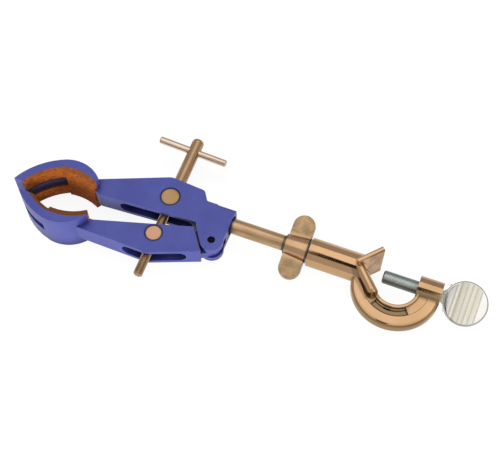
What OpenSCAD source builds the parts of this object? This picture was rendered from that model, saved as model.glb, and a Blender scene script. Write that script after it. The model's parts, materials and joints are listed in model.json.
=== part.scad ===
// Boss head clamp: a swivelling pair of cork-lined jaws on a rod, with a V and hook head for a stand rod.
// Millimetres. X runs along the swivel rod, from the jaws to the thumb screw. Z is along the stand rod.
// The origin is on the axis of the stand rod, at the height of the swivel rod.

/* [Boss head] */
// Nominal stand rod that the V is set out for
stand_rod_d = 10.4; // [9.6:0.1:12]
// Half of the V's angle
vee_half_angle = 48; // [44:1:50]
// Length of the free V prong
free_prong_l = 13.8; // [12:0.2:18]
// Thickness of the free V prong
free_prong_t = 3.2; // [2.5:0.1:4.5]
// Height of the free V prong along the stand rod
free_prong_h = 29; // [22:0.5:32]
// Length of the V prong that runs into the hook
hook_prong_l = 19.8; // [18:0.2:22]
// Thickness of the V prong that runs into the hook
hook_prong_t = 4.6; // [4:0.1:6]
// Height of the V prong that runs into the hook
hook_prong_h = 18.8; // [16:0.2:22]
// Outside diameter of the swivel sleeve
sleeve_d = 18.5; // [16:0.5:22]
// Length of the swivel sleeve, up to the V
sleeve_l = 35.3; // [30:0.1:44]
// Depth of the rod's hole in the sleeve
sleeve_bore_l = 25; // [18:1:25]
// Outside radius of the hook
hook_r = 27.8; // [26.4:0.2:29]
// Inside radius of the hook
hook_inner_r = 13; // [11:0.2:14]
// Height of the hook's outer band along the stand rod
hook_h = 7.8; // [6:0.2:9]
// Width of the hook's outer band
hook_band_w = 7.8; // [6:0.2:8.6]
// Height of the lip along the hook's inside
hook_lip_h = 10; // [8:0.2:12]
// Width of that lip
hook_lip_w = 2.3; // [1.6:0.1:3]
// Thickness of the web between the lip and the band
hook_web_t = 5.4; // [4:0.2:6]
// Thickness of the web where the pockets make it thinner
pocket_web_t = 3; // [2:0.2:3.6]
// Distance from the V's vertex to the hook's centre
hook_reach = 22.3; // [21.4:0.1:23.4]
// Drop of the hook's centre below the rod axis
hook_drop = 5.2; // [3:0.2:6]
// Outside diameter of the screw hub
hub_d = 16; // [14:0.1:18]
// Length of the screw hub
hub_l = 14.9; // [12:0.1:18]

/* [Clamp screw] */
// Diameter of the clamp screw
clamp_screw_d = 8.4; // [7:0.1:10]
// Space between the stand rod and the screw's tip at rest
clamp_screw_gap = 0.4; // [0.2:0.1:2]
// Diameter of the flat thumb head
thumb_d = 27.6; // [24:0.2:28.4]
// Thickness of the flat thumb head
thumb_t = 3.6; // [2.5:0.1:5]
// Length from the hub to the middle of the thumb head
thumb_reach = 15.3; // [15:0.1:22]
// Turn of the thumb head about the screw's axis at rest
thumb_roll = 25; // [0:5:180]
// Width of the flat neck between the screw and the thumb head
neck_w = 5.6; // [4:0.1:6]
// Radius of the fillets between that neck and the thumb head
neck_fillet_r = 6; // [4:0.2:7]
// Width across the ribs of the thumb head
rib_field_w = 15.5; // [10:0.5:18]
// Number of grip ribs on each face of the thumb head
thumb_ribs = 6; // [3:1:8]
// Height of the grip ribs
thumb_rib_h = 0.5; // [0.3:0.1:1]

/* [Rod and wing nut] */
// Diameter of the swivel rod
rod_d = 10; // [8:0.1:10.5]
// Length of plain rod between the jaw arm and the wing nut
rod_free_l = 36.1; // [25:0.1:60]
// Length of the wing nut's hub
nut_l = 15.5; // [12:0.5:20]
// Diameter of the wing nut's seat
nut_seat_d = 16; // [14.5:0.5:18]
// Diameter of the wing nut's small end
nut_nose_d = 13; // [12.5:0.5:15]
// Space between the wing nut and the sleeve
nut_gap = 0.8; // [0.5:0.1:2]
// Tip-to-tip span of the wings
wing_span = 42.4; // [36:0.2:52]
// Width of each wing along the rod
wing_w = 14.2; // [10:0.2:15.4]
// Thickness of each wing
wing_t = 3.4; // [2.5:0.1:5]
// Turn of the wings about the rod at rest
wing_roll = 16; // [0:1:35]

/* [Jaw arms] */
// Thickness of both arms
arm_t = 14; // [13:0.5:18]
// Length of the tail that holds the rod
tail_l = 20.4; // [19:0.2:26]
// Width of the tail
tail_w = 16.4; // [14:0.2:20]
// Corner radius of the tail's section
tail_corner_r = 2.6; // [1:0.1:3.5]
// Depth of the rod's hole in the tail
socket_l = 18; // [14:0.5:18.5]
// Diameter of the relief round the rod at the tail's end
relief_d = 12.6; // [11.5:0.1:13]
// Depth of that relief
relief_l = 2; // [1:0.5:4]
// Distance of the pivot back from the tail's end
pivot_back = 6.9; // [6.7:0.1:9]
// Drop of the pivot below the rod axis
pivot_drop = 17.6; // [17:0.2:20]
// Radius of the round ears at the pivot
ear_r = 7.6; // [6.5:0.1:8.2]
// Thickness of the pivot tongue
tongue_t = 5.6; // [4:0.1:7]
// Radius of the round end of the pivot tongue
tongue_r = 6.2; // [5:0.1:7]
// Diameter of the pivot pin
pivot_d = 5; // [4:0.1:6]
// Depth of the pivot pin's ends below the ears' faces
pivot_recess = 1.8; // [0.5:0.1:2.5]
// Height of the long slots that the screw passes through
slot_h = 9; // [8.8:0.1:10]
// Length of the long slot in the fixed arm
fixed_slot_l = 49; // [40:1:52]
// Length of the long slot in the moving arm
moving_slot_l = 40; // [34:1:44]
// Shift of the fixed arm's slot from the screw towards the jaw
fixed_slot_shift = 4.8; // [3:0.2:6]
// Shift of the moving arm's slot from the screw towards the pivot
moving_slot_shift = 4; // [3:0.2:5]
// Rise of the fixed arm's crown above the upper trunnion
crown_rise = 13.8; // [11:0.2:16]
// Distance of that crown from the screw towards the jaw
crown_back = 4.4; // [3:0.2:6]
// Rise of the fixed arm's shoulder above the tail
shoulder_rise = 6; // [3:0.2:8]
// Distance of that shoulder from the tail towards the jaw
shoulder_back = 3.6; // [2:0.2:6]
// Drop of the moving arm's belly below the lower trunnion
belly_drop = 14.6; // [12:0.2:16]
// Distance of that belly from the screw towards the pivot
belly_ahead = 1.6; // [0:0.2:4]
// Length of the moving arm's rear edge below the pivot's level line
rear_below = 6.5; // [5:0.1:8]
// Length of that edge above it
rear_above = 11.6; // [10:0.2:12.4]
// Depth to which the arms run into the jaws' walls
root_sink = 1.4; // [1:0.1:2]
// Depth of the arms' noses behind the ends of the corks
nose_depth = 3.9; // [3:0.1:4.5]

/* [Jaws] */
// Distance from the pivot to the jaws' centre
jaw_reach = 98.6; // [92:0.2:106]
// Drop of the jaws' centre below the pivot
jaw_drop = 4.1; // [3.6:0.1:4.6]
// Shift of the moving jaw towards the pivot
moving_jaw_shift = 1; // [0:0.1:2]
// Drop of the moving jaw below the fixed one's centre
moving_jaw_drop = 0.2; // [0:0.1:0.5]
// Height of the jaws
jaw_h = 29.5; // [24:0.5:34]
// Outside radius of the round heel half
jaw_heel_r = 23; // [22:0.2:24]
// Outside radius of the fixed jaw's tip half
fixed_tip_r = 47; // [44:0.5:52]
// Outside radius of the moving jaw's tip half
moving_tip_r = 46; // [42:0.5:49]
// Wall of the jaw shells
jaw_wall = 5.2; // [4.6:0.1:5.6]
// Thickness of the cork in the tip half
cork_tip_t = 2; // [1:0.1:2.4]
// Thickness of the cork in the heel half
cork_heel_t = 3.3; // [2.6:0.1:4]
// Wall of the jaw shells at the crown of the heel half
heel_crown_t = 6; // [5:0.1:6.4]
// Radius of the heel half's flatter inside
heel_inner_r = 37; // [33:0.5:42]
// Shift of that inside's centre towards the tips
heel_inner_shift = 0.5; // [0:0.1:1]
// Foot of the fixed heel's end face ahead of the jaw's centre
fixed_foot_x = 8.6; // [7:0.2:10]
// Height of that foot
fixed_foot_y = 1; // [0:0.2:2]
// Foot of the moving heel's end face ahead of the jaw's centre
moving_foot_x = 13.7; // [12:0.2:15]
// Depth of that foot
moving_foot_y = 0.8; // [0:0.2:2]
// Depth of the fixed tip's end below the jaw's centre
fixed_tip_drop = 3.1; // [2.4:0.1:3.8]
// Height of the moving tip's end
moving_tip_rise = 8.8; // [8:0.1:9.6]
// Height of the slots in the tip halves
tip_slot_h = 7; // [5:0.2:9]
// Distance of those slots from the heel halves, along the outside
tip_slot_start = 1; // [0.6:0.1:3]
// Length of the slot in the fixed jaw, along the outside
fixed_tip_slot_l = 28; // [20:0.5:30]
// Length of the slot in the moving jaw, along the outside
moving_tip_slot_l = 22; // [14:0.5:23]

/* [Closing screw] */
// Distance from the pivot to the closing screw's axis
screw_arm = 36.2; // [35:0.2:38]
// Height of the upper trunnion above the rod axis
upper_trunnion_y = 2.2; // [1:0.2:3]
// Depth of the lower trunnion below the rod axis
lower_trunnion_y = 25.8; // [25:0.2:27]
// Shift of the lower trunnion towards the pivot
lower_trunnion_shift = 0.6; // [0:0.1:1.5]
// Diameter of the upper trunnion
upper_trunnion_d = 12; // [10:0.2:13]
// Diameter of the lower trunnion
lower_trunnion_d = 10.5; // [9:0.1:11]
// Diameter of the screw's plain shank
shank_d = 8; // [7:0.1:8.2]
// Diameter of the screw's threaded end
thread_d = 6; // [5:0.1:6.2]
// Height of the screw's top above the rod axis
screw_top_y = 52.5; // [50:0.5:60]
// Depth of the screw's end below the rod axis
screw_end_y = 53.5; // [48:0.5:60]
// Distance from the screw's top to the tommy bar
bar_down = 9.4; // [6:0.2:11]
// Diameter of the tommy bar
bar_d = 4.8; // [4:0.1:5.5]
// Length of the tommy bar
bar_l = 47; // [40:1:60]
// Turn of the tommy bar about the screw at rest
bar_turn = 7; // [0:1:180]
// Sideways offset of the tommy bar's middle from the screw
bar_offset = 0.6; // [-4:0.2:4]
// Outside diameter of the retaining ring
ring_d = 8.4; // [7.6:0.1:8.4]
// Thickness of the retaining ring
ring_t = 1.1; // [0.8:0.1:1.5]

/* [Clearances] */
// Radial clearance of shafts that turn in holes
running = 0.05; // [0.02:0.01:0.1]
// Radial clearance of the lower trunnion round the screw
loose = 0.32; // [0.3:0.01:0.5]
// Space between faces that pass each other
pass_gap = 0.5; // [0.4:0.05:0.8]
// Space beside a face that only seats
seat_gap = 0.1; // [0.05:0.01:0.15]

/* [Hidden] */
$fn = 96;

plated = "#be9a6a";
paint = "#585ca8";
cork = "#9c5020";
zinc = "#aab0b4";

// Longer than any cut needs to be
far = 200;
// A cut starts this far outside the face that it opens
over = 1;

// Boss head, set out from the V's vertex
vee_x = -stand_rod_d / 2 / sin(vee_half_angle);
hook_c = [vee_x + hook_reach, -hook_drop];
// The hub stands in a little from the hook's inside
hub_set_in = 0.5;
hub_x = hook_c.x + hook_inner_r - hub_set_in;
sleeve_x = vee_x - sleeve_l;
// The space of the V runs on just past the end of the hook's prong
vee_space_end = [vee_x, 0] + (hook_prong_l + over) * heading(-vee_half_angle);
// The hook runs from behind the V round to the hub
hook_start_angle = 178;
hook_end_angle = 370;
pocket_angles = [236, 308];
hook_edge_r = 2.6;
hook_small_r = 0.7;
free_prong_edge_r = 1.2;
// The ridge of the hook's prong is all but a half round
hook_prong_edge_r = hook_prong_t / 2 - running;
// The sleeve runs on into the backs of the prongs
sleeve_blend = 4;

// Clamp screw, whose round shank ends just inside the hub
clamp_tip_x = stand_rod_d / 2 + clamp_screw_gap;
thumb_x = hub_x + hub_l + thumb_reach;
shank_end_x = hub_x + hub_l - pass_gap;
// Centres of the neck's fillets, seen from the thumb head's middle
neck_fillet_y = neck_w / 2 + neck_fillet_r;
neck_fillet_x = sqrt((thumb_d / 2 + neck_fillet_r) ^ 2 - neck_fillet_y ^ 2);
clamp_tip_chamfer = 0.9;
thumb_edge_r = 1.2;
// The neck's faces stand in this far from the head's
neck_step = 0.2;
rib_w = 0.9;

// Rod, wing nut and tail, each set out from the one before it
nut_x = sleeve_x - nut_gap - nut_l;
tail_end_x = nut_x - rod_free_l;
tail_x = tail_end_x - tail_l;
rod_start_x = tail_end_x - socket_l;
rod_end_x = sleeve_x + sleeve_bore_l - pass_gap;
rod_chamfer = 0.8;
edge_r = 0.6;
// The arm's outline runs this far into the tail, with its throat just below it
tail_root_l = 8;
throat_l = 2.5;
throat_drop = 0.8;
// Rounds in the arms' outlines
crown_r = 9;
belly_r = 7;
shoulder_r = 3.5;
crease_r = 1.5;
// The tail's end is straight down to this height above the pivot
ear_flank_rise = 2;
// The ears' other flank leans away from the moving arm's rear edge, so that the jaws can close
flank_l = 15.5;
flank_lean = 4;

// Pivot, trunnions and jaws, set out from the tail's end
pivot = [tail_end_x - pivot_back, -pivot_drop];
screw_x = pivot.x - screw_arm;
upper_trunnion = [screw_x, upper_trunnion_y];
lower_trunnion = [screw_x + lower_trunnion_shift, -lower_trunnion_y];
// The screw leans so that its axis meets both trunnions
screw_lean = atan2(lower_trunnion_shift, upper_trunnion.y - lower_trunnion.y);
jaw_c = [pivot.x - jaw_reach, pivot.y - jaw_drop];
// The moving jaw sits a little nearer to the pivot
moving_jaw_c = jaw_c + [moving_jaw_shift, -moving_jaw_drop];
fixed_slot_x = screw_x - fixed_slot_shift;
moving_slot_x = lower_trunnion.x + moving_slot_shift;
ear_gap = tongue_t + pass_gap;
pivot_wall = 1;
pivot_slit = 0.8;
// The rear edge of the moving arm just clears the round ears
rear_heading = -55;
rear_foot = pivot + (ear_r + pass_gap) * heading(rear_heading - 90);

// Jaw outlines, each in a frame on its own centre with Y outward
// The heel half meets the tip half at this angle
fixed_join_angle = 114;
moving_join_angle = 104;
// The heel half laps over the tip half by this angle, so that they are one solid
join_lap = 1;
// and stands proud of it by this much, so that their outsides meet at an edge
join_step = 0.05;
heel_inner_c = [-heel_inner_shift, jaw_heel_r - heel_crown_t - heel_inner_r];
// The heels' end faces lean at this angle, through their feet
heel_end_angle = 57;
fixed_heel_foot = [fixed_foot_x, fixed_foot_y];
moving_heel_foot = [moving_foot_x, -moving_foot_y];
// The arms meet the jaws between these angles, outer then inner, with their noses behind the corks
fixed_roots = [57.5, 38.5, 24.2];
fixed_nose_angle = 34.8;
moving_roots = [54.1, 33.7, 21.4];
moving_nose_angle = 24.7;

// Closing screw
shoulder_y = upper_trunnion.y + upper_trunnion_d / 2 + seat_gap;
ring_y = upper_trunnion.y - upper_trunnion_d / 2 - seat_gap - ring_t;
groove_d = thread_d - 1.2;
// The mouth lets the ring snap over the groove
ring_mouth = 3.8;
bar_y = screw_top_y - bar_down;
dome_r = 2.4;
bar_end_r = 1.2;

function heading(angle) = [cos(angle), sin(angle)];

// The points of a rounded corner at b, between the sides to a and c
function corner(a, b, c, r, steps = 6) =
    let (
        to_a = (a - b) / norm(a - b),
        to_c = (c - b) / norm(c - b),
        half = acos(to_a * to_c) / 2,
        middle = b + (to_a + to_c) / norm(to_a + to_c) * r / sin(half),
        first = b + to_a * r / tan(half) - middle,
        last = b + to_c * r / tan(half) - middle,
        start = atan2(first.y, first.x),
        turn = atan2(first.x * last.y - first.y * last.x, first * last)
    )
    [for (i = [0:steps]) middle + r * heading(start + turn * i / steps)];

// An outline with each corner rounded by its own radius
function rounded(points, radii) =
    let (n = len(points))
    [for (i = [0:n - 1])
        each radii[i] > 0
            ? corner(points[(i + n - 1) % n], points[i], points[(i + 1) % n], radii[i])
            : [points[i]]];

// A centred rectangle with its own radius at each corner, from the lower left one round
function box(w, h, radii) = rounded([[-w, -h] / 2, [w, -h] / 2, [w, h] / 2, [-w, h] / 2], radii);

// The angle that a length takes up along a circle
function arc_angle(l, r) = l / r * 180 / PI;

// A point in the wall of a jaw, seen from the jaw's centre
function root(angle) = (jaw_heel_r - root_sink) * heading(angle);

// The centre of a jaw's tip arc, which meets the heel arc smoothly
function tip_centre(tip_r, join) = (jaw_heel_r - join_step - tip_r) * heading(join);

// A turned piece about Z, from its outside as points of radius and height, each with a corner radius
module turned(outside, radii) {
    first = outside[0];
    last = outside[len(outside) - 1];
    rotate_extrude()
        polygon(rounded(concat([[0, first.y]], outside, [[0, last.y]]), concat([0], radii, [0])));
}

// A cylinder along X from x, with its two radii
module along_x(x, l, r1, r2 = undef) {
    translate([x, 0, 0])
        rotate([0, 90, 0])
            cylinder(h = l, r1 = r1, r2 = is_undef(r2) ? r1 : r2);
}

// A cylinder along Y from y, before the closing screw leans
module along_screw(y, l, r) {
    translate([screw_x, y, 0])
        rotate([-90, 0, 0])
            cylinder(h = l, r = r);
}

// Leans its children with the closing screw, about the upper trunnion
module leaning() {
    translate([upper_trunnion.x, upper_trunnion.y, 0])
        rotate([0, 0, screw_lean])
            translate([-upper_trunnion.x, -upper_trunnion.y, 0])
                children();
}

// A hole right through along Z
module hole(place, d) {
    translate([place.x, place.y, -far / 2])
        cylinder(h = far, d = d);
}

// A flat wedge from a point, between two headings less than half a turn apart
module wedge(from, start, end) {
    middle = (start + end) / 2;
    polygon([from, from + far * heading(start), from + far * heading(middle), from + far * heading(end)]);
}

// A prong of the V: a bar with rounded edges whose inner face starts at the vertex
module prong(angle, l, t, h, edge, back) {
    translate([vee_x, 0, 0])
        rotate([0, 0, angle])
            translate([-back, sign(angle) * t / 2, 0])
                rotate([90, 0, 90])
                    linear_extrude(back + l)
                        polygon(box(t, h, edge * [1, 1, 1, 1]));
}

// The whole turn of the hook: a lip, a thinner web, and a band with a heavy round on its outer edges
module hook_ring() {
    lip_r = hook_inner_r + hook_lip_w;
    band_r = hook_r - hook_band_w;
    upper = [[hook_r, hook_h / 2], [band_r, hook_h / 2], [band_r, hook_web_t / 2],
             [lip_r, hook_web_t / 2], [lip_r, hook_lip_h / 2], [hook_inner_r, hook_lip_h / 2]];
    radii = [hook_edge_r, hook_small_r, hook_small_r, hook_small_r, hook_small_r, hook_small_r];
    n = len(upper);
    translate([hook_c.x, hook_c.y, 0])
        rotate_extrude()
            polygon(rounded(concat(upper, [for (i = [n - 1:-1:0]) [upper[i].x, -upper[i].y]]),
                            concat(radii, [for (i = [n - 1:-1:0]) radii[i]])));
}

// The pockets in the hook's web, as one flat outline
module pocket_outline() {
    intersection() {
        translate(hook_c)
            difference() {
                circle(r = hook_r - hook_band_w - hook_small_r);
                circle(r = hook_inner_r + hook_lip_w + hook_small_r);
            }
        wedge(hook_c, pocket_angles[0], pocket_angles[1]);
    }
}

module boss_head() {
    color(plated)
        difference() {
            union() {
                along_x(sleeve_x, sleeve_l + sleeve_blend, sleeve_d / 2);
                prong(vee_half_angle, free_prong_l, free_prong_t, free_prong_h, free_prong_edge_r, hook_prong_t);
                prong(-vee_half_angle, hook_prong_l, hook_prong_t, hook_prong_h, hook_prong_edge_r, 0);
                difference() {
                    hook_ring();
                    linear_extrude(far, center = true)
                        wedge(hook_c, hook_end_angle - 360, hook_start_angle);
                    for (side = [-1, 1])
                        translate([0, 0, side * hook_web_t / 2])
                            linear_extrude(hook_web_t - pocket_web_t, center = true)
                                pocket_outline();
                }
                along_x(hub_x, hub_l, hub_d / 2);
            }
            // The space of the V stays open for the stand rod
            linear_extrude(far, center = true)
                polygon([[vee_x, 0], vee_space_end, [hook_c.x, vee_space_end.y], [hook_c.x, sleeve_d],
                         [vee_x + sleeve_d / tan(vee_half_angle), sleeve_d]]);
            along_x(sleeve_x - over, sleeve_bore_l + over, rod_d / 2 + running);
            along_x(hook_c.x, far, clamp_screw_d / 2 + running);
        }
}

// The flat neck that flares from the screw into the thumb head, seen from the head's middle
module neck_outline() {
    start = shank_end_x - thumb_x - over;
    difference() {
        translate([start, -neck_fillet_y])
            square([-start, 2 * neck_fillet_y]);
        for (side = [-1, 1]) {
            translate([-neck_fillet_x, side * neck_fillet_y])
                circle(r = neck_fillet_r);
            translate([-neck_fillet_x - far, side * neck_fillet_y - neck_fillet_r])
                square([far, 2 * neck_fillet_r]);
        }
        translate([-thumb_d / 4, -far / 2])
            square([far, far]);
    }
}

module clamp_screw() {
    r = clamp_screw_d / 2;
    ribbed_t = thumb_t + 2 * thumb_rib_h;
    color(zinc) {
        rotate([0, 90, 0])
            turned([[r - clamp_tip_chamfer, clamp_tip_x], [r, clamp_tip_x + clamp_tip_chamfer],
                    [r, shank_end_x - clamp_tip_chamfer], [r - clamp_tip_chamfer, shank_end_x]],
                   [0, 0, 0, 0]);
        rotate([thumb_roll, 0, 0])
            translate([thumb_x, 0, 0]) {
                turned([[thumb_d, -thumb_t] / 2, [thumb_d, thumb_t] / 2], [thumb_edge_r, thumb_edge_r]);
                linear_extrude(thumb_t - 2 * neck_step, center = true)
                    neck_outline();
                intersection() {
                    cylinder(h = ribbed_t, d = thumb_d - 2 * thumb_edge_r, center = true);
                    for (i = [0:thumb_ribs - 1])
                        translate([rib_field_w * (i / (thumb_ribs - 1) - 0.5), 0, 0])
                            cube([rib_w, thumb_d, ribbed_t], center = true);
                }
            }
    }
}

module support_rod() {
    r = rod_d / 2;
    color(plated)
        rotate([0, 90, 0])
            turned([[r, rod_start_x], [r, rod_end_x - rod_chamfer], [r - rod_chamfer, rod_end_x]], [0, 0, 0]);
}

module wing_nut() {
    wing_end = wing_span / 2 - wing_w / 2;
    color(plated)
        difference() {
            union() {
                along_x(nut_x, nut_l, nut_nose_d / 2, nut_seat_d / 2);
                rotate([wing_roll, 0, 0])
                    translate([nut_x + nut_l / 2, 0, 0])
                        linear_extrude(wing_t, center = true) {
                            square([wing_w, 2 * wing_end], center = true);
                            for (side = [-1, 1])
                                translate([0, side * wing_end])
                                    circle(d = wing_w);
                        }
            }
            along_x(nut_x - over, nut_l + 2 * over, rod_d / 2 + running);
        }
}

// The part of the plane that a heel half takes up, in its jaw's frame
module heel_field(join, foot) {
    polygon([[0, 0], foot, foot + far * heading(heel_end_angle), far * heading(join + join_lap)]);
}

// The part of the plane that a tip half takes up, cut off along X
module tip_field(join, cut) {
    polygon([[cut / tan(join), cut], [-far, cut], [-far, far], far * heading(join)]);
}

// A layer of a tip half, between two radii about its own centre
module tip_layer(tip_r, join, cut, outer, inner) {
    intersection() {
        translate(tip_centre(tip_r, join))
            difference() {
                circle(r = outer);
                circle(r = inner);
            }
        tip_field(join, cut);
    }
}

// The space inside a heel half, up to its end face
module heel_space(join, foot) {
    intersection() {
        translate(heel_inner_c)
            circle(r = heel_inner_r);
        heel_field(join, foot);
    }
}

module jaw_shell_outline(tip_r, join, cut, foot) {
    difference() {
        intersection() {
            circle(r = jaw_heel_r);
            heel_field(join, foot);
        }
        heel_space(join, foot);
    }
    tip_layer(tip_r, join, cut, tip_r, tip_r - jaw_wall);
}

module jaw_cork_outline(tip_r, join, cut, foot) {
    difference() {
        union() {
            difference() {
                heel_space(join, foot);
                translate(heel_inner_c)
                    circle(r = heel_inner_r - cork_heel_t);
            }
            tip_layer(tip_r, join, cut, tip_r - jaw_wall, tip_r - jaw_wall - cork_tip_t);
        }
        jaw_shell_outline(tip_r, join, cut, foot);
    }
}

// A jaw's outline made solid, with the slot through its tip half
module jaw_solid(tip_r, join, slot_l) {
    first = join + arc_angle(tip_slot_start, tip_r);
    difference() {
        linear_extrude(jaw_h, center = true)
            children();
        linear_extrude(tip_slot_h, center = true)
            wedge(tip_centre(tip_r, join), first, first + arc_angle(slot_l, tip_r));
    }
}

module fixed_jaw_place() {
    translate(jaw_c)
        children();
}

module moving_jaw_place() {
    translate(moving_jaw_c)
        mirror([0, 1, 0])
            children();
}

// The long slot through an arm, with round ends
module arm_slot(middle_x, l) {
    translate([middle_x, 0, 0])
        rotate([90, 0, 0])
            linear_extrude(far, center = true) {
                square([l - slot_h, slot_h], center = true);
                for (side = [-1, 1])
                    translate([side * (l - slot_h) / 2, 0])
                        circle(d = slot_h);
            }
}

// The flat outline of the fixed arm, from the jaw to the tail
module fixed_arm_outline() {
    polygon(rounded(
        [jaw_c + root(fixed_roots[0]),
         [screw_x - crown_back, upper_trunnion.y + crown_rise],
         [tail_x - shoulder_back, tail_w / 2 + shoulder_rise],
         [tail_x + edge_r, tail_w / 2 - edge_r],
         [tail_x + tail_root_l, tail_w / 2 - edge_r],
         [tail_x + tail_root_l, -tail_w / 2],
         [tail_x + throat_l, -tail_w / 2 - throat_drop],
         jaw_c + root(fixed_roots[2]),
         jaw_c + (jaw_heel_r - nose_depth) * heading(fixed_nose_angle),
         jaw_c + root(fixed_roots[1])],
        [0, crown_r, shoulder_r, crease_r, 0, 0, 0, 0, 0, 0]));
}

// The flat outline of the tail's foot and its round ears
module ear_outline() {
    translate(pivot)
        circle(r = ear_r);
    foot = pivot + ear_r * heading(rear_heading - 90);
    polygon([foot, foot - flank_l * heading(rear_heading - flank_lean),
             [tail_end_x, over - tail_w / 2], [tail_end_x, pivot.y + ear_flank_rise],
             pivot + ear_r * heading(-25)]);
}

module fixed_jaw_arm() {
    color(paint)
        difference() {
            union() {
                fixed_jaw_place()
                    jaw_solid(fixed_tip_r, fixed_join_angle, fixed_tip_slot_l)
                        jaw_shell_outline(fixed_tip_r, fixed_join_angle, -fixed_tip_drop, fixed_heel_foot);
                linear_extrude(arm_t, center = true) {
                    fixed_arm_outline();
                    ear_outline();
                }
                translate([tail_x, 0, 0])
                    rotate([90, 0, 90])
                        linear_extrude(tail_l)
                            polygon(box(tail_w, arm_t, tail_corner_r * [0, 0, 1, 0]));
            }
            // Room for the tongue between the ears
            linear_extrude(ear_gap, center = true)
                polygon([[tail_end_x + over, pivot.y + tongue_r + pass_gap],
                         [screw_x + screw_arm / 2, pivot.y + tongue_r + pass_gap],
                         [screw_x + screw_arm / 2, -far], [tail_end_x + over, -far]]);
            arm_slot(fixed_slot_x, fixed_slot_l);
            hole(upper_trunnion, upper_trunnion_d + 2 * running);
            hole(pivot, pivot_d);
            along_x(rod_start_x, far, rod_d / 2);
            along_x(tail_end_x - relief_l, far, relief_d / 2);
        }
}

module fixed_jaw_cork() {
    color(cork)
        fixed_jaw_place()
            jaw_solid(fixed_tip_r, fixed_join_angle, fixed_tip_slot_l)
                jaw_cork_outline(fixed_tip_r, fixed_join_angle, -fixed_tip_drop, fixed_heel_foot);
}

// The flat outline of the moving arm
module moving_arm_outline() {
    polygon(rounded(
        [moving_jaw_c + root(-moving_roots[0]),
         [screw_x + belly_ahead, lower_trunnion.y - belly_drop],
         rear_foot + rear_below * heading(rear_heading),
         rear_foot - rear_above * heading(rear_heading),
         moving_jaw_c + (jaw_heel_r + root_sink) * heading(-moving_roots[2]),
         moving_jaw_c + root(-moving_nose_angle),
         moving_jaw_c + root(-moving_roots[1])],
        [0, belly_r, edge_r, crease_r, 0, 0, 0]));
}

module moving_jaw_arm() {
    color(paint)
        difference() {
            union() {
                moving_jaw_place()
                    jaw_solid(moving_tip_r, moving_join_angle, moving_tip_slot_l)
                        jaw_shell_outline(moving_tip_r, moving_join_angle, moving_tip_rise, moving_heel_foot);
                linear_extrude(arm_t, center = true)
                    difference() {
                        moving_arm_outline();
                        moving_jaw_place()
                            heel_space(moving_join_angle, moving_heel_foot);
                    }
                linear_extrude(tongue_t, center = true)
                    translate(pivot) {
                        circle(r = tongue_r);
                        rotate(rear_heading - 90)
                            translate([0, -tongue_r])
                                square([ear_r + 2 * pass_gap + over, 2 * tongue_r]);
                    }
            }
            arm_slot(moving_slot_x, moving_slot_l);
            hole(lower_trunnion, lower_trunnion_d + 2 * running);
            hole(pivot, pivot_d + 2 * running);
        }
}

module moving_jaw_cork() {
    color(cork)
        moving_jaw_place()
            jaw_solid(moving_tip_r, moving_join_angle, moving_tip_slot_l)
                jaw_cork_outline(moving_tip_r, moving_join_angle, moving_tip_rise, moving_heel_foot);
}

module pivot_pin() {
    l = arm_t - 2 * pivot_recess;
    color(zinc)
        translate([pivot.x, pivot.y, -l / 2])
            difference() {
                cylinder(h = l, d = pivot_d);
                translate([0, 0, -over])
                    cylinder(h = l + 2 * over, d = pivot_d - 2 * pivot_wall);
                translate([0, -pivot_slit / 2, -over])
                    cube([pivot_d, pivot_slit, l + 2 * over]);
            }
}

// A round barrel across an arm, with a cross hole for the screw
module trunnion(place, d, hole_r) {
    color(plated)
        difference() {
            translate([place.x, place.y, 0])
                turned([[d, -arm_t] / 2, [d, arm_t] / 2], [edge_r, edge_r]);
            leaning()
                along_screw(-far / 2, far, hole_r);
        }
}

module upper_trunnion() {
    trunnion(upper_trunnion, upper_trunnion_d, thread_d / 2 + running);
}

module lower_trunnion() {
    trunnion(lower_trunnion, lower_trunnion_d, thread_d / 2 + loose);
}

// The place of the tommy bar, along Z before it is turned
module bar_place() {
    leaning()
        translate([screw_x, bar_y, 0])
            rotate([0, 90 + bar_turn, 0])
                children();
}

module adjusting_screw() {
    r = thread_d / 2;
    groove = [ring_y - seat_gap / 2, ring_y + ring_t + seat_gap / 2];
    color(plated)
        difference() {
            leaning()
                translate([screw_x, 0, 0])
                    rotate([-90, 0, 0])
                        turned([[r, -screw_end_y], [r, groove[0]], [groove_d / 2, groove[0]],
                                [groove_d / 2, groove[1]], [r, groove[1]], [r, shoulder_y],
                                [shank_d / 2, shoulder_y], [shank_d / 2, screw_top_y]],
                               [edge_r, 0, 0, 0, 0, 0, 0, dome_r]);
            bar_place()
                cylinder(h = far, d = bar_d, center = true);
        }
}

module tommy_bar() {
    color(plated)
        bar_place()
            translate([0, 0, -bar_offset])
                turned([[bar_d, -bar_l] / 2, [bar_d, bar_l] / 2], [bar_end_r, bar_end_r]);
}

module retaining_ring() {
    color(zinc)
        leaning()
            difference() {
                along_screw(ring_y, ring_t, ring_d / 2);
                along_screw(ring_y - over, ring_t + 2 * over, groove_d / 2 + running);
                translate([screw_x, ring_y - over, -ring_mouth / 2])
                    cube([ring_d, ring_t + 2 * over, ring_mouth]);
            }
}

boss_head();
clamp_screw();
support_rod();
wing_nut();
fixed_jaw_arm();
fixed_jaw_cork();
moving_jaw_arm();
moving_jaw_cork();
pivot_pin();
upper_trunnion();
lower_trunnion();
adjusting_screw();
tommy_bar();
retaining_ring();
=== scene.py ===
"""Looks of a swivel retort clamp: plated boss head and rod, cork-lined painted jaws, a zinc thumb screw."""

import json
import math

import bpy
from mathutils import Matrix, Vector


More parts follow.
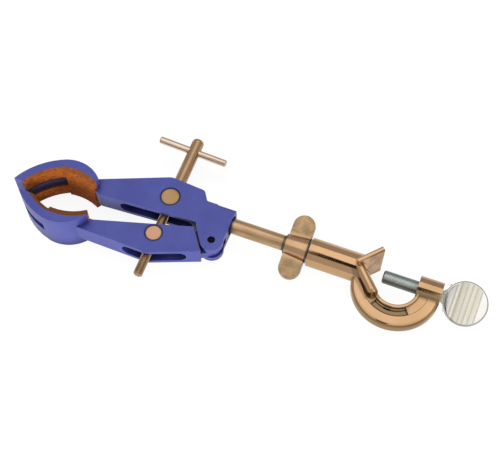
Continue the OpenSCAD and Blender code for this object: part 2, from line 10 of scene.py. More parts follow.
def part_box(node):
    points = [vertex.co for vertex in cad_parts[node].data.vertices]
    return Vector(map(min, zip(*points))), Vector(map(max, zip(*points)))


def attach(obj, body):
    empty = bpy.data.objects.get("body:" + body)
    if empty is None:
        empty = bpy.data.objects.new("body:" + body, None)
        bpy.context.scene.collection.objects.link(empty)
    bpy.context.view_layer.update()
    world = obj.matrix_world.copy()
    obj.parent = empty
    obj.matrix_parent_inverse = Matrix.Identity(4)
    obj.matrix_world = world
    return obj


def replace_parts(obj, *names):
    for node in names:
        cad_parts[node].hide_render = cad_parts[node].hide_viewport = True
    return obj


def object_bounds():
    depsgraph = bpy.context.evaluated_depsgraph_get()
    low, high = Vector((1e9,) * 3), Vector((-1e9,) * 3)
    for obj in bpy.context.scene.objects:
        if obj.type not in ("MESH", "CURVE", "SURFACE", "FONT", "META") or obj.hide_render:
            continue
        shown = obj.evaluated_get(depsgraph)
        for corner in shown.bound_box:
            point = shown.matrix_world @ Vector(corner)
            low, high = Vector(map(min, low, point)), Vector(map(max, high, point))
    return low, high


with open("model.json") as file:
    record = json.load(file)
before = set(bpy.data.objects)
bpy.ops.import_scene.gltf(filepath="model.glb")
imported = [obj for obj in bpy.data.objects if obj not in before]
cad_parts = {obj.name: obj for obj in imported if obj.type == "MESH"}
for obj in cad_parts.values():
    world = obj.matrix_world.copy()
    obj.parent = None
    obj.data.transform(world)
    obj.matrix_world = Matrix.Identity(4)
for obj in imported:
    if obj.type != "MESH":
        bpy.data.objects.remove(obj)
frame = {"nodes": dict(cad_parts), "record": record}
cad_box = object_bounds()
nodes = frame["nodes"]
joints = {joint["name"]: joint for joint in frame["record"]["behaviour"]["joints"]}
MM = 0.001

# Photograph's frame and viewing angle
FRAME_W = 500
FOCAL_PX = 1000
SENSOR_W = 36
CAMERA_AZIMUTH = math.radians(21)
CAMERA_ELEVATION = math.radians(61)
CAMERA_DISTANCE = 633 * MM
CAMERA_TARGET = Vector((-82.1, -0.88, 0)) * MM

# Levels of the surroundings, 1 being white
WORLD_DIFFUSE = 0.45
FLOOR_GLOW = 1.12
FLOOR_GLOW_SHARE = 0.8
FLOOR_MIRRORED = 0.70
ROOM_FRONT = 0.46
ROOM_BEHIND = 0.36
LENS_MIDDLE = 0.02
LENS_SIDES = 0.42
LENS_END_SHARE = 0.05

# Lamps, in watts
KEY_POWER = 3.0
FILL_POWER = 10.0

# Colours, linear
GOLD = (0.80, 0.49, 0.26)
GOLD_WORN = (0.95, 0.68, 0.44)
# Tarnish of the cast head, which is also its painted shade in hollows and on faces away from the light
CAST_TARNISH_AND_SHADE = (0.30, 0.20, 0.09)
NUT_GOLD = (0.80, 0.49, 0.28)
NUT_TARNISH = (0.33, 0.235, 0.12)
ROD_GOLD = (0.86, 0.55, 0.32)
ROD_TARNISH = (0.44, 0.29, 0.13)
SCREW_GOLD = (0.70, 0.44, 0.24)
SCREW_TARNISH = (0.40, 0.28, 0.15)
BAR_GOLD = (0.98, 0.74, 0.56)
BAR_TARNISH = (0.62, 0.47, 0.32)
BARREL_GOLD = (0.72, 0.42, 0.21)
# Tarnish of the barrels, which is also the painted shade round the rims of their ends
BARREL_TARNISH_AND_SHADE = (0.44, 0.33, 0.15)
# A brighter, pinker copy of the barrel colour for the lower barrel: its painted highlight, with its own
# tarnish and painted shade
BARREL_PINK_HIGHLIGHT = (1.0, 0.50, 0.36)
BARREL_HIGHLIGHT_TARNISH_AND_SHADE = (0.52, 0.42, 0.19)
# Grime and painted shade in the plating's corners and hollows
GRIME_AND_SHADE = (0.17, 0.15, 0.12)
# Painted shade where parts meet and in creases
PAINTED_SHADE = (0.10, 0.08, 0.055)
PAINT = (0.066, 0.077, 0.345)
PAINT_LIGHT = (0.085, 0.098, 0.395)
# Painted highlight along the coat's edges
PAINT_EDGE_HIGHLIGHT = (0.14, 0.14, 0.50)
# Painted shade in the coat's creases, slots and gaps
PAINT_SHADE = (0.006, 0.003, 0.040)
CORK = (0.50, 0.142, 0.022)
CORK_BROWN = (0.30, 0.075, 0.013)
# Painted shade along the cork's top rim
CORK_RIM_SHADE = (0.13, 0.045, 0.014)
# Painted shade round the slot in the cork
CORK_SLOT_SHADE = (0.035, 0.016, 0.020)
CORK_PALE = (0.62, 0.21, 0.050)
ZINC = (0.68, 0.74, 0.71)
ZINC_DULL = (0.52, 0.57, 0.54)
ZINC_HEAD = (0.98, 0.97, 0.92)
ZINC_HEAD_DULL = (0.94, 0.91, 0.82)
# Painted shade on the thread's lower side and top, and round the flat head's rim
ZINC_SHADE = (0.10, 0.13, 0.13)
# Painted shade on the flat head's ribs
ZINC_RIB_SHADE = (0.66, 0.60, 0.50)
ZINC_CREAM = (0.58, 0.545, 0.37)
BLACK_STEEL = (0.012, 0.012, 0.014)

# Boss head, in millimetres: hook, its web's pocket, screw hub, and V with its two prongs
HOOK_MIDDLE = (15.3, -5.2)
HOOK_R = 27
POCKET_R = (15.9, 19.2)
POCKET_X = (7, 25)
HUB_X = (28.5, 43.1)
HUB_R = 8.2
VEE = (-7.0, 0)
VEE_TURN = math.radians(48)
PRONG_R = 3.0
PRONG_START = -1.0
PRONG_LENGTH = 19.8

# Rod and nut, in millimetres, from the frame
NUT_LOW, NUT_HIGH = (corner.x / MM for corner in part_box("wing_nut"))
NUT_HUB_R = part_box("wing_nut")[1].z / MM
ROD_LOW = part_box("support_rod")[0].x / MM
SLEEVE_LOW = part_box("boss_head")[0].x / MM
TAIL_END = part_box("fixed_jaw_arm")[1].x / MM

# Jaws, in millimetres: pivot, moving arm's rear edge, throat between the arms, and cork
PIVOT = Vector(joints["jaw_turn"]["pos_m"]) / MM
REAR_TURN = math.radians(-145)
REAR_GAP = (7.2, 8.5)
THROAT_X = (-127, -112)
THROAT_Y = (-14, -8.9)
EAR_HALF = 6.6
CORK_HALF = 14.6
SLOT_HALF = 4.3
SLOT_X = -207

# Clamp screw, in millimetres: shank, and flat head with its cream middle
SHANK_R = 4.2
SHANK_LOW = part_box("clamp_screw")[0].x / MM
SHANK_HIGH = 42.2
HEAD_TURN = math.radians(25)
HEAD_FACE = (0, -math.sin(HEAD_TURN), math.cos(HEAD_TURN))
HEAD_HALF = 1.85
CREAM_X = (52.2, 65.2)

# Closing screw: seat and axis from its joint, lengths along the axis in millimetres
SCREW_SEAT = Vector(joints["screw_turn"]["pos_m"])
SCREW_AXIS = Vector(joints["screw_turn"]["axis"])
SCREW_R = 3.0
SCREW_LOW = -55.7
SCREW_THREAD_TOP = -7.25

# Thread, and the small step between two faces that meet, in millimetres
THREAD_PITCH = 1.0
SEAM = 0.02

# Edges that turn by more than this stay sharp, and the floor is just below the object
SHARP_ANGLE = math.radians(32)
FLOOR_Z = cad_box[0].z - 0.05 * MM


def look_from(azimuth, elevation):
    """The direction from the object to a viewer, azimuth 0 being the -Y side."""
    level = math.cos(elevation)
    return Vector((math.sin(azimuth) * level, -math.cos(azimuth) * level, math.sin(elevation)))


def aim(obj, place, target):
    """Puts obj at place with its -Z axis towards target."""
    obj.location = place
    obj.rotation_mode = "QUATERNION"
    obj.rotation_quaternion = (target - place).to_track_quat("-Z", "Y")
    return obj


def add_object(name, data):
    obj = bpy.data.objects.new(name, data)
    bpy.context.scene.collection.objects.link(obj)
    return obj


def make_camera():
    data = bpy.data.cameras.new("camera")
    data.sensor_width = SENSOR_W
    data.lens = SENSOR_W * FOCAL_PX / FRAME_W
    data.clip_start = 10 * MM
    data.clip_end = 20
    back = look_from(CAMERA_AZIMUTH, CAMERA_ELEVATION)
    camera = add_object("camera", data)
    aim(camera, CAMERA_TARGET + back * CAMERA_DISTANCE, CAMERA_TARGET)
    bpy.context.scene.camera = camera


class Shader:
    """A new material's node tree, with short calls for adding and joining nodes."""

    def __init__(self, name, is_world=False):
        if is_world:
            self.owner = bpy.data.worlds.new(name)
        else:
            self.owner = bpy.data.materials.new(name)
        self.owner.use_nodes = True
        self.tree = self.owner.node_tree
        self.tree.nodes.clear()

    def add(self, kind, inputs=None, **settings):
        """A node with its settings and inputs. An input is a value, or a socket to join to it."""
        node = self.tree.nodes.new(kind)
        for key, value in settings.items():
            setattr(node, key, value)
        for key, value in (inputs or {}).items():
            if isinstance(value, bpy.types.NodeSocket):
                self.tree.links.new(value, node.inputs[key])
            else:
                node.inputs[key].default_value = value
        return node

    def point(self):
        """The surface point in the object's own frame."""
        return self.add("ShaderNodeTexCoord").outputs["Object"]

    def stretched(self, scale):
        """The surface point, scaled along X, Y and Z. Noise is long where the scale is small."""
        return self.add("ShaderNodeMapping", {"Vector": self.point(), "Scale": scale}).outputs["Vector"]

    def noise(self, scale, detail=3, roughness=0.5, vector=None):
        """Noise at so many features a millimetre."""
        node = self.add("ShaderNodeTexNoise", {"Scale": scale / MM, "Detail": detail, "Roughness": roughness,
                                               "Vector": vector or self.point()})
        return node.outputs["Fac"]

    def ramp(self, value, stops):
        """A colour ramp from (place, colour) stops."""
        node = self.add("ShaderNodeValToRGB", {"Fac": value})
        elements = node.color_ramp.elements
        while len(elements) < len(stops):
            elements.new(1)
        for element, (place, colour) in zip(elements, stops):
            element.position = place
            element.color = (*colour, 1)
        return node.outputs["Color"]

    def mix(self, factor, first, second):
        """A mix of two colours, each a colour or a socket."""
        node = self.add("ShaderNodeMix", data_type="RGBA")
        for name, kind, value in (("Factor", "VALUE", factor), ("A", "RGBA", first), ("B", "RGBA", second)):
            socket = next(s for s in node.inputs if s.name == name and s.type == kind)
            if isinstance(value, bpy.types.NodeSocket):
                self.tree.links.new(value, socket)
            elif kind == "VALUE":
                socket.default_value = value
            else:
                socket.default_value = (*value, 1)
        return next(s for s in node.outputs if s.type == "RGBA")

    def maths(self, operation, *values):
        """One value from several: the operation on the first two, then on the result and the next one."""
        result = values[0]
        for value in values[1:]:
            result = self.add("ShaderNodeMath", {0: result, 1: value}, operation=operation).outputs[0]
        return result

    def times(self, *values):
        return self.maths("MULTIPLY", *values)

    def most(self, *values):
        return self.maths("MAXIMUM", *values)

    def size_of(self, value):
        """The value without its sign."""
        return self.add("ShaderNodeMath", {0: value}, operation="ABSOLUTE").outputs[0]

    def dot(self, first, second):
        node = self.add("ShaderNodeVectorMath", {0: first, 1: second}, operation="DOT_PRODUCT")
        return node.outputs["Value"]

    def spread(self, value, low, high, to_low, to_high):
        """The value's span from low to high, mapped to another one."""
        node = self.add("ShaderNodeMapRange", {"Value": value, "From Min": low, "From Max": high,
                                               "To Min": to_low, "To Max": to_high})
        return node.outputs["Result"]

    def slope(self, value, low, high, to_low, to_high):
        """The same, for a length whose low and high are in millimetres."""
        return self.spread(value, low * MM, high * MM, to_low, to_high)

    def band(self, value, low, high, soft):
        """1 between low and high, in millimetres, and 0 outside, with soft sides."""
        rise = self.slope(value, low - soft, low, 0, 1)
        fall = self.slope(value, high, high + soft, 1, 0)
        return self.times(rise, fall)

    def place(self):
        """The X, Y and Z of the surface point."""
        return self.add("ShaderNodeSeparateXYZ", {"Vector": self.point()}).outputs

    def off_axis(self, first, second, middle):
        """The distance from an axis, from the two coordinates across it and its middle in millimetres."""
        a = self.maths("SUBTRACT", first, middle[0] * MM)
        b = self.maths("SUBTRACT", second, middle[1] * MM)
        square = self.maths("ADD", self.times(a, a), self.times(b, b))
        return self.maths("POWER", square, 0.5)

    def turned(self, middle, turn):
        """How far the surface point is along and across a line through middle, at an angle to +X."""
        place = self.place()
        x = self.maths("SUBTRACT", place["X"], middle[0] * MM)
        y = self.maths("SUBTRACT", place["Y"], middle[1] * MM)
        cos, sin = math.cos(turn), math.sin(turn)
        along = self.maths("ADD", self.times(x, cos), self.times(y, sin))
        across = self.maths("SUBTRACT", self.times(y, cos), self.times(x, sin))
        return along, across

    def normal(self):
        """The surface's direction."""
        return self.add("ShaderNodeNewGeometry").outputs["Normal"]

    def edges(self, radius):
        """1 along sharp edges and 0 on plain faces, from the normal's turn within radius millimetres."""
        rounded = self.add("ShaderNodeBevel", {"Radius": radius * MM}, samples=6).outputs["Normal"]
        return self.spread(self.dot(rounded, self.normal()), 0.995, 0.88, 0, 1)

    def creases(self, distance, share):
        """Up to share in corners and hollows, and 0 in the open, from what is within distance millimetres."""
        node = self.add("ShaderNodeAmbientOcclusion", {"Distance": distance * MM}, samples=8)
        return self.spread(node.outputs["AO"], 0.9, 0.3, 0, share)

    def bump(self, height, depth, normal=None):
        """A bump with heights up to depth millimetres, on another one where normal is given."""
        inputs = {"Height": height, "Distance": depth * MM, "Strength": 1.0}
        if normal:
            inputs["Normal"] = normal
        return self.add("ShaderNodeBump", inputs).outputs["Normal"]

    def surface(self, inputs):
        """The finished Principled surface."""
        bsdf = self.add("ShaderNodeBsdfPrincipled", inputs)
        self.add("ShaderNodeOutputMaterial", {"Surface": bsdf.outputs["BSDF"]})
        return self.owner


def plated(name, base, tarnish_and_shade, roughness, lumps=0.02, cast=0.16, blotch=0.45, dull=None, dark=None,
           grime_and_shade=0.6, reach=4):
    """Yellow plating.

    lumps is the height of the metal's waviness in millimetres, and cast its count of features a millimetre.
    blotch is the share of tarnish_and_shade in the clouds all over the piece, as tarnished plating.
    dull(shader) gives its share on a piece's own duller parts: tarnished plating on some pieces, painted
    shade on others.
    dark(shader) gives the share of painted shade in PAINTED_SHADE. grime_and_shade is the share of
    GRIME_AND_SHADE in corners and hollows, dirt and painted shade both, from what is within reach
    millimetres.
    """
    s = Shader(name)
    cloud = s.noise(0.045, detail=4)
    fine = s.noise(1.6, detail=2)
    wave = s.noise(cast, detail=2)
    colour = s.mix(s.spread(cloud, 0.42, 0.72, 0, blotch), base, tarnish_and_shade)
    # A piece's own duller parts: tarnished plating on some pieces, painted shade on others
    if dull:
        colour = s.mix(dull(s), colour, tarnish_and_shade)
    colour = s.mix(s.times(s.edges(0.5), 0.4), colour, GOLD_WORN)
    # Grime and painted shade in corners and hollows
    colour = s.mix(s.creases(reach, grime_and_shade), colour, GRIME_AND_SHADE)
    # Painted shade where a piece has its own dark parts
    if dark:
        colour = s.mix(dark(s), colour, PAINTED_SHADE)
    rough = s.spread(s.maths("ADD", fine, cloud), 0.6, 1.4, roughness * 0.75, roughness * 1.3)
    normal = s.bump(fine, 0.003, normal=s.bump(wave, lumps))
    return s.surface({"Base Color": colour, "Metallic": 1.0, "Roughness": rough, "Normal": normal})


def from_rod_axis(s):
    """The distance from the swivel rod's axis."""
    place = s.place()
    return s.off_axis(place["Y"], place["Z"], (0, 0))


def dull_wings(s):
    """The blotched wings of the nut, outside its polished hub."""
    blotches = s.spread(s.noise(0.22, detail=4, roughness=0.6), 0.38, 0.62, 0.5, 1)
    outside = s.slope(from_rod_axis(s), NUT_HUB_R - 0.4, NUT_HUB_R + 1.5, 0, 0.95)
    return s.times(outside, blotches)


def dark_nut_ends(s):
    """Painted shade at the two ends of the nut's hub, where it meets the rod and the sleeve."""
    along = s.place()["X"]
    low_end = s.band(along, NUT_LOW - 1, NUT_LOW + 0.5, 0.4)
    high_end = s.band(along, NUT_HIGH - 0.8, NUT_HIGH + 1, 0.4)
    on_hub = s.slope(from_rod_axis(s), NUT_HUB_R + 1, NUT_HUB_R + 2, 0.85, 0)
    return s.times(s.most(low_end, high_end), on_hub)


def dark_rod_ends(s):
    """Painted shade on the rod where it goes into the nut, the sleeve and the arm's tail."""
    along = s.place()["X"]
    in_nut = s.band(along, NUT_LOW - 1, SLEEVE_LOW + 2, 0.7)
    in_tail = s.band(along, ROD_LOW, TAIL_END, 1.2)
    return s.times(s.most(in_nut, in_tail), 0.8)


def streaks(s):
    """Long marks of drawing along the rod."""
    marks = s.noise(0.9, detail=4, roughness=0.6, vector=s.stretched((0.05, 1, 1)))
    return s.spread(marks, 0.42, 0.66, 0, 0.6)


def shaded_hollows(s):
    """Painted shade in the pocket in the hook's web, along the hook's outer edge, on the hub's lower side and
    on the free prong's face.
    """
    place = s.place()
    x, y = place["X"], place["Y"]
    out = s.off_axis(x, y, HOOK_MIDDLE)
    pocket = s.times(s.band(out, *POCKET_R, 0.9), s.band(x, *POCKET_X, 3), s.slope(y, -8, -12, 0, 0.85))
    edge = s.times(s.slope(out, HOOK_R - 2.4, HOOK_R, 0, 0.6), s.slope(y, -14, -24, 0, 1))
    hub = s.times(s.slope(y, -4.8, -6.4, 0, 0.6), s.band(x, *HUB_X, 1), s.band(y, -HUB_R, 0, 0.3))
    along, across = s.turned(VEE, VEE_TURN)
    face = s.times(s.band(across, -0.5, 0.4, 0.2), s.band(along, 4, 17.5, 1.5))
    blotches = s.spread(s.noise(0.2, detail=3), 0.4, 0.6, 0.3, 0.75)
    return s.most(pocket, edge, hub, s.times(face, blotches))


def dark_prong_foot(s):
    """Painted shade in the corners round the hook's prong of the V."""
    along, across = s.turned(VEE, -VEE_TURN)
    below = -2 * PRONG_R
    tip = PRONG_LENGTH
    foot = s.times(s.band(across, below - 2.6, below + 0.6, 0.8), s.band(along, PRONG_START, tip, 1))
    end = s.times(s.band(across, below - 1, 0.3, 0.5), s.band(along, tip - 0.9, tip + 3.2, 0.7))
    high = s.band(s.size_of(s.place()["Z"]), 3.2, 8.4, 0.8)
    return s.times(s.most(foot, end), high, 0.35)


def barrel(node):
    """A cross barrel's middle and radius, in millimetres."""
    low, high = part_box(node)
    middle = (low + high) / 2 / MM
    return (middle.x, middle.y), (high.x - low.x) / 2 / MM


def shaded_rim(middle, radius):
    """Painted shade round the rim of a barrel's end, which leaves its middle brighter."""
    def share(s):
        place = s.place()
        return s.slope(s.off_axis(place["X"], place["Y"], middle), radius * 0.72, radius * 0.98, 0, 1)
    return share


def gap_shade(s, place):
    """Painted shade in the throat between the arms, and in the gap between the ears and the moving arm's rear
    edge.
    """
    throat = s.times(s.band(place["X"], *THROAT_X, 4), s.band(place["Y"], *THROAT_Y, 0.4),
                     s.band(place["Z"], -EAR_HALF, EAR_HALF, 0.25))
    out, along = s.turned(PIVOT, REAR_TURN)
    gap = s.times(s.band(out, *REAR_GAP, 0.25), s.band(along, -11.5, 4, 1))
    return s.most(throat, gap)


def powder_coat():
    """Satin blue-violet powder coat with a slight orange peel, a painted highlight along its edges, and
    painted shade in its creases and slots, round the barrels and in the gaps between the arms.
    """
    s = Shader("powder_coat")
    peel = s.noise(0.9, detail=2)
    cloud = s.noise(0.05, detail=3)
    runs = s.noise(0.22, detail=2, vector=s.stretched((1, 1, 0.06)))
    colour = s.mix(s.spread(cloud, 0.4, 0.7, 0, 1), PAINT, PAINT_LIGHT)
    # Painted highlight along the edges
    colour = s.mix(s.times(s.edges(0.6), 0.5), colour, PAINT_EDGE_HIGHLIGHT)
    # Painted shade in creases, slots and hollows
    colour = s.mix(s.creases(12, 1), colour, PAINT_SHADE)
    place = s.place()
    # Painted shade in a ring round each barrel, where the gap round it would be dark
    for node in ("upper_trunnion", "lower_trunnion"):
        middle, radius = barrel(node)
        ring = s.band(s.off_axis(place["X"], place["Y"], middle), radius - 1, radius + 0.5, 0.6)
        colour = s.mix(s.times(ring, 0.85), colour, PAINT_SHADE)
    # Painted shade in the throat and in the gap behind the moving arm
    colour = s.mix(s.times(gap_shade(s, place), 0.9), colour, PAINT_SHADE)
    rough = s.spread(peel, 0.3, 0.7, 0.30, 0.42)
    normal = s.bump(peel, 0.025, normal=s.bump(runs, 0.12))
    return s.surface({"Base Color": colour, "Roughness": rough, "Normal": normal, "IOR": 1.5,
                      "Specular IOR Level": 0.3, "Coat Weight": 0.2, "Coat Roughness": 0.22})


def cork_sheet():
    """Pressed cork: grains of a few tones, dark pores, a broken surface, and painted shade along its top rim
    and round the slot.
    """
    s = Shader("cork_sheet")
    grain = s.add("ShaderNodeTexVoronoi", {"Scale": 0.75 / MM, "Vector": s.point()})
    tone = s.add("ShaderNodeSeparateColor", {"Color": grain.outputs["Color"]}).outputs["Red"]
    colour = s.ramp(tone, [(0.0, CORK_BROWN), (0.2, CORK), (0.8, CORK), (1.0, CORK_PALE)])
    cloud = s.noise(0.35, detail=5, roughness=0.65)
    colour = s.mix(s.spread(cloud, 0.48, 0.75, 0, 0.55), colour, CORK_BROWN)
    place = s.place()
    height = s.size_of(place["Z"])
    # Painted shade along the top rim, stronger towards -Y
    rim = s.times(s.slope(height, CORK_HALF - 1.2, CORK_HALF, 0, 1), s.slope(place["Y"], -25, -28, 0.4, 0.85))
    colour = s.mix(rim, colour, CORK_RIM_SHADE)
    # Painted shade round the slot
    slot = s.times(s.band(height, -1, SLOT_HALF, 1.3), s.slope(place["X"], SLOT_X + 2, SLOT_X, 0, 0.9))
    colour = s.mix(slot, colour, CORK_SLOT_SHADE)
    pores = s.noise(1.7, detail=3)
    crumb = s.maths("ADD", s.times(tone, 0.4), s.spread(pores, 0.35, 0.6, 0, 1))
    return s.surface({"Base Color": colour, "Roughness": 0.85, "Normal": s.bump(crumb, 0.08),
                      "Specular IOR Level": 0.25})


def zinc_thread(s, clouded, height):
    """The colour of the zinc thread, with painted shade along its lower side and its top."""
    colour = s.mix(clouded, ZINC, ZINC_DULL)
    colour = s.mix(s.slope(height, -2.4, -4, 0, 0.85), colour, ZINC_SHADE)
    return s.mix(s.slope(height, -0.8, 1.4, 0, 0.5), colour, ZINC_SHADE)


def zinc_head(s, clouded, along):
    """The colour of the flat head: bright, with a streaked cream middle that has painted shade towards its
    left end, painted shade on its ribs and round its rim.
    """
    colour = s.mix(clouded, ZINC_HEAD, ZINC_HEAD_DULL)
    streak = s.spread(s.noise(0.45, detail=3, vector=s.stretched((1, 0.06, 0.06))), 0.35, 0.65, 0.55, 1.1)
    # Cream middle, with painted shade that makes it darker towards its left end
    cream = s.times(s.band(along, *CREAM_X, 0.5), s.slope(along, 53, 56.5, 0.9, 0.55), streak)
    colour = s.mix(cream, colour, ZINC_CREAM)
    # Painted shade on the ribs
    depth = s.size_of(s.dot(s.point(), HEAD_FACE))
    colour = s.mix(s.slope(depth, HEAD_HALF, HEAD_HALF + 0.3, 0, 0.9), colour, ZINC_RIB_SHADE)
    # Painted shade round the rim, where the surface turns away from the face
    facing = s.size_of(s.dot(s.normal(), HEAD_FACE))
    return s.mix(s.spread(facing, 0.8, 0.4, 0, 0.9), colour, ZINC_SHADE)


def zinc_plate():
    """Clouded zinc plating, dull on the thread and polished on the flat head."""
    s = Shader("zinc_plate")
    cloud = s.noise(0.12, detail=4)
    fine = s.noise(2.2, detail=2)
    clouded = s.spread(cloud, 0.4, 0.7, 0, 0.7)
    place = s.place()
    on_head = s.slope(place["X"], SHANK_HIGH - 0.2, SHANK_HIGH + 0.8, 0, 1)
    colour = s.mix(on_head, zinc_thread(s, clouded, place["Y"]), zinc_head(s, clouded, place["X"]))
    dull = s.spread(fine, 0.3, 0.7, 0.30, 0.42)
    polished = s.spread(fine, 0.3, 0.7, 0.08, 0.12)
    rough = s.spread(on_head, 0, 1, dull, polished)
    return s.surface({"Base Color": colour, "Metallic": 1.0, "Roughness": rough,
                      "Normal": s.bump(fine, 0.001)})


def black_oxide():
    s = Shader("black_oxide")
    fine = s.noise(1.4, detail=3)
    rough = s.spread(fine, 0.3, 0.7, 0.35, 0.55)
    return s.surface({"Base Color": (*BLACK_STEEL, 1), "Metallic": 0.6, "Roughness": rough,
                      "Normal": s.bump(fine, 0.01)})


def smooth_group():
    """A geometry group that shades a mesh smooth, apart from its sharp edges."""
    group = bpy.data.node_groups.new("smooth_shade", "GeometryNodeTree")
    group.interface.new_socket("Mesh", in_out="INPUT", socket_type="NodeSocketGeometry")
    group.interface.new_socket("Mesh", in_out="OUTPUT", socket_type="NodeSocketGeometry")
    start = group.nodes.new("NodeGroupInput")
    end = group.nodes.new("NodeGroupOutput")
    faces = group.nodes.new("GeometryNodeSetShadeSmooth")
    faces.domain = "FACE"
    edges = group.nodes.new("GeometryNodeSetShadeSmooth")
    edges.domain = "EDGE"
    edges.inputs["Shade Smooth"].default_value = False
    turn = group.nodes.new("GeometryNodeInputMeshEdgeAngle")
    sharp = group.nodes.new("FunctionNodeCompare")
    sharp.operation = "GREATER_THAN"
    sharp.inputs["B"].default_value = SHARP_ANGLE
    group.links.new(turn.outputs["Unsigned Angle"], sharp.inputs["A"])
    group.links.new(sharp.outputs["Result"], edges.inputs["Selection"])
    group.links.new(start.outputs["Mesh"], faces.inputs[0])
    group.links.new(faces.outputs[0], edges.inputs[0])
    group.links.new(edges.outputs[0], end.inputs["Mesh"])
    return group


def dress(obj, material, edge):
    """Gives a piece its material, smooth shading, and edges rounded by so many millimetres."""
    obj.data.materials.clear()
    obj.data.materials.append(material)
    weld = obj.modifiers.new("weld", "WELD")
    weld.merge_threshold = 0.002 * MM
    smooth = obj.modifiers.new("smooth", "NODES")
    smooth.node_group = SMOOTH
    if edge:
        bevel = obj.modifiers.new("bevel", "BEVEL")
        bevel.width = edge * MM
        bevel.segments = 2
        bevel.limit_method = "ANGLE"
        bevel.angle_limit = SHARP_ANGLE
        bevel.use_clamp_overlap = True
    flat = obj.modifiers.new("flat_faces", "WEIGHTED_NORMAL")
    flat.weight = 100
    flat.keep_sharp = True


def add_piece(mesh, body, material, edge):
    """A new piece that rides on a body."""
    piece = add_object(mesh.name, mesh)
    dress(piece, material, edge)
    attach(piece, body)
    return piece


def part_of(node, name, keeps):
    """A new mesh with the CAD node's faces that have a point for which keeps() is true."""
    source = nodes[node].data
    places = [v.co.copy() for v in source.vertices]
    faces = [tuple(f.vertices) for f in source.polygons if any(keeps(places[i]) for i in f.vertices)]
    mesh = bpy.data.meshes.new(name)
    mesh.from_pydata(places, [], faces)
    return mesh


def tube(name, rings):
    """A closed tube through rings of points in millimetres, each turning right-handed about its direction."""
    sides = len(rings[0])
    last = (len(rings) - 1) * sides
    faces = []
    for start in range(0, last, sides):
        for j in range(sides):
            after = (j + 1) % sides
            faces.append((start + j, start + after, start + sides + after, start + sides + j))
    faces.append(tuple(reversed(range(sides))))
    faces.append(tuple(range(last, last + sides)))
    mesh = bpy.data.meshes.new(name)
    mesh.from_pydata([Vector(point) * MM for ring in rings for point in ring], [], faces)
    return mesh


def turns(count):
    """The angles of so many even steps round a circle."""
    return [2 * math.pi * i / count for i in range(count)]


def radius_at(stations, z):
    """The radius at z, between (z, radius) stations."""
    for (z0, r0), (z1, r1) in zip(stations, stations[1:]):
        if z <= z1:
            return r0 + (r1 - r0) * (z - z0) / (z1 - z0)
    return stations[-1][1]


def threaded_shaft(name, stations, root_r, sides=40):
    """A shaft along +Z with a thread cut to root_r. stations are (z, crest radius), in millimetres."""
    low, high = stations[0][0], stations[-1][0]
    steps = round((high - low) / THREAD_PITCH * 10)
    rings = []
    for k in range(steps + 1):
        z = low + (high - low) * k / steps
        crest = radius_at(stations, z)
        ring = []
        for j, turn in enumerate(turns(sides)):
            phase = (z / THREAD_PITCH - j / sides) % 1
            ridge = min(1, max(0, 1.35 - abs(phase - 0.5) * 4))
            r = min(crest, root_r + max(0, crest - root_r) * ridge)
            ring.append((r * math.cos(turn), r * math.sin(turn), z))
        rings.append(ring)
    return tube(name, rings)


def capsule(name, radius, low, high, sides=32, steps=8):
    """A round bar along +X with half balls at its ends, whose middles are at low and high."""
    quarter = [math.pi / 2 * i / steps for i in range(steps + 1)]
    profile = [(low - radius * math.cos(a), radius * math.sin(a)) for a in quarter[1:]]
    profile += [(high + radius * math.sin(a), radius * math.cos(a)) for a in quarter[:-1]]
    return tube(name, [[(x, r * math.cos(a), r * math.sin(a)) for a in turns(sides)] for x, r in profile])


def ring_sector(name, middle, inner, outer, half, first, last, steps=24):
    """A flat part of a ring about +Z, from the first angle to the last in degrees."""
    section = ((inner, -half), (inner, half), (outer, half), (outer, -half))
    rings = []
    for i in range(steps + 1):
        turn = math.radians(first + (last - first) * i / steps)
        x, y = math.cos(turn), math.sin(turn)
        rings.append([(middle[0] + r * x, middle[1] + r * y, z) for r, z in section])
    return tube(name, rings)


def flat_card(name, half_x, half_y, z=0):
    """A flat rectangle, in metres."""
    corners = [(-half_x, -half_y, z), (half_x, -half_y, z), (half_x, half_y, z), (-half_x, half_y, z)]
    mesh = bpy.data.meshes.new(name)
    mesh.from_pydata(corners, [], [(0, 1, 2, 3)])
    return mesh


def make_world():
    """White for the camera's rays, mirrored ones and those through glass, and softer as a light."""
    s = Shader("studio", is_world=True)
    path = s.add("ShaderNodeLightPath").outputs
    seen = s.most(path["Is Camera Ray"], path["Is Glossy Ray"], path["Is Transmission Ray"])
    strength = s.spread(seen, 0, 1, WORLD_DIFFUSE, 1)
    back = s.add("ShaderNodeBackground", {"Color": (1, 1, 1, 1), "Strength": strength})
    s.add("ShaderNodeOutputWorld", {"Surface": back.outputs["Background"]})
    bpy.context.scene.world = s.owner


def make_floor(half=4):
    """A white floor under the lowest point, which shows the object's shadow faintly."""
    s = Shader("floor_white")
    path = s.add("ShaderNodeLightPath").outputs
    camera, glossy = path["Is Camera Ray"], path["Is Glossy Ray"]
    diffuse = s.add("ShaderNodeBsdfDiffuse", {"Color": (0.9, 0.9, 0.9, 1)})
    strength = s.maths("ADD", s.times(camera, FLOOR_GLOW), s.times(glossy, FLOOR_MIRRORED))
    glow = s.add("ShaderNodeEmission", {"Color": (1, 1, 1, 1), "Strength": strength})
    share = s.most(s.times(camera, FLOOR_GLOW_SHARE), glossy)
    both = s.add("ShaderNodeMixShader", {0: share, 1: diffuse.outputs["BSDF"], 2: glow.outputs["Emission"]})
    s.add("ShaderNodeOutputMaterial", {"Surface": both.outputs["Shader"]})
    mesh = flat_card("floor", half, half, FLOOR_Z)
    mesh.materials.append(s.owner)
    add_object("floor", mesh)


